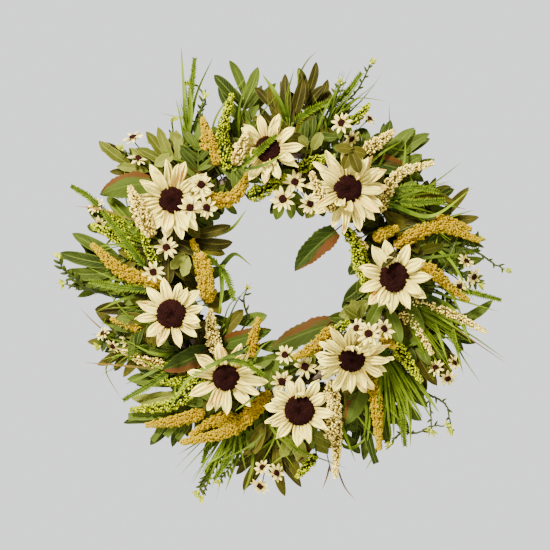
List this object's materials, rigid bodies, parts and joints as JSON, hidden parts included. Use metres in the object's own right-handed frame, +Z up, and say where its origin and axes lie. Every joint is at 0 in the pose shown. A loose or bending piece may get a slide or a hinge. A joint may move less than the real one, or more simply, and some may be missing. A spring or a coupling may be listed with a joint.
{
  "type": "harvest wreath",
  "caption": "Round vine wreath with cream sunflowers, small daisies, flower spikes and leaf sprays on wired stems, and a wire hanger that tilts.",
  "frame": {"origin": "the point inside the hanger's eye that rests on a nail or hook, in the plane of the eye", "axes": "+Z up, -Y towards the viewer, so that the wreath faces -Y and the door is at about y = +5 mm; +X is to the viewer's right"},
  "size_m": [0.5865, 0.1295, 0.5798],
  "materials": {
    "vine": "rough dry bark",
    "wire": "dull green paint",
    "petal": "printed woven cloth, cream with a warmer base",
    "daisy": "printed woven cloth, cream",
    "seed": "flocked, dark brown",
    "stem": "moulded plastic over wire",
    "yellow_bead": "moulded foam beads",
    "lime_bead": "moulded foam beads",
    "cream_bead": "moulded foam beads",
    "green_leaf": "printed woven cloth with moulded veins",
    "olive_leaf": "printed woven cloth with moulded veins"
  },
  "bodies": {
    "wreath": {"cream_spike_1": "cream_bead", "cream_spike_2": "cream_bead", "cream_spike_3": "cream_bead", "cream_spike_4": "cream_bead", "daisy_spray_1": "daisy", "daisy_spray_2": "daisy", "daisy_spray_3": "daisy", "daisy_spray_4": "daisy", "leaf_spray_1": "green_leaf", "leaf_spray_10": "olive_leaf", "leaf_spray_11": "olive_leaf", "leaf_spray_2": "olive_leaf", "leaf_spray_3": "green_leaf", "leaf_spray_4": "olive_leaf", "leaf_spray_5": "green_leaf", "leaf_spray_6": "green_leaf", "leaf_spray_7": "olive_leaf", "leaf_spray_8": "green_leaf", "leaf_spray_9": "green_leaf", "lime_spike_1": "lime_bead", "lime_spike_2": "lime_bead", "lime_spike_3": "lime_bead", "sunflower_1_centre": "seed", "sunflower_1_petals": "petal", "sunflower_1_stem": "stem", "sunflower_2_centre": "seed", "sunflower_2_petals": "petal", "sunflower_2_stem": "stem", "sunflower_3_centre": "seed", "sunflower_3_petals": "petal", "sunflower_3_stem": "stem", "sunflower_4_centre": "seed", "sunflower_4_petals": "petal", "sunflower_4_stem": "stem", "sunflower_5_centre": "seed", "sunflower_5_petals": "petal", "sunflower_5_stem": "stem", "sunflower_6_centre": "seed", "sunflower_6_petals": "petal", "sunflower_6_stem": "stem", "sunflower_7_centre": "seed", "sunflower_7_petals": "petal", "sunflower_7_stem": "stem", "sunflower_8_centre": "seed", "sunflower_8_petals": "petal", "sunflower_8_stem": "stem", "vine_1": "vine", "vine_2": "vine", "vine_3": "vine", "vine_4": "vine", "wire_tie_1": "wire", "wire_tie_2": "wire", "wire_tie_3": "wire", "yellow_spike_1": "yellow_bead", "yellow_spike_2": "yellow_bead", "yellow_spike_3": "yellow_bead", "yellow_spike_4": "yellow_bead", "yellow_spike_5": "yellow_bead", "yellow_spike_6": "yellow_bead"},
    "hanger": {"wire_hanger": "wire"}
  },
  "joints": [
    {"name": "hanger_swing", "type": "hinge", "parent": "wreath", "child": "hanger", "pos_m": [0, -0.024, -0.0538], "axis": [-1, 0, 0], "range_deg": [-10, 80]}
  ]
}
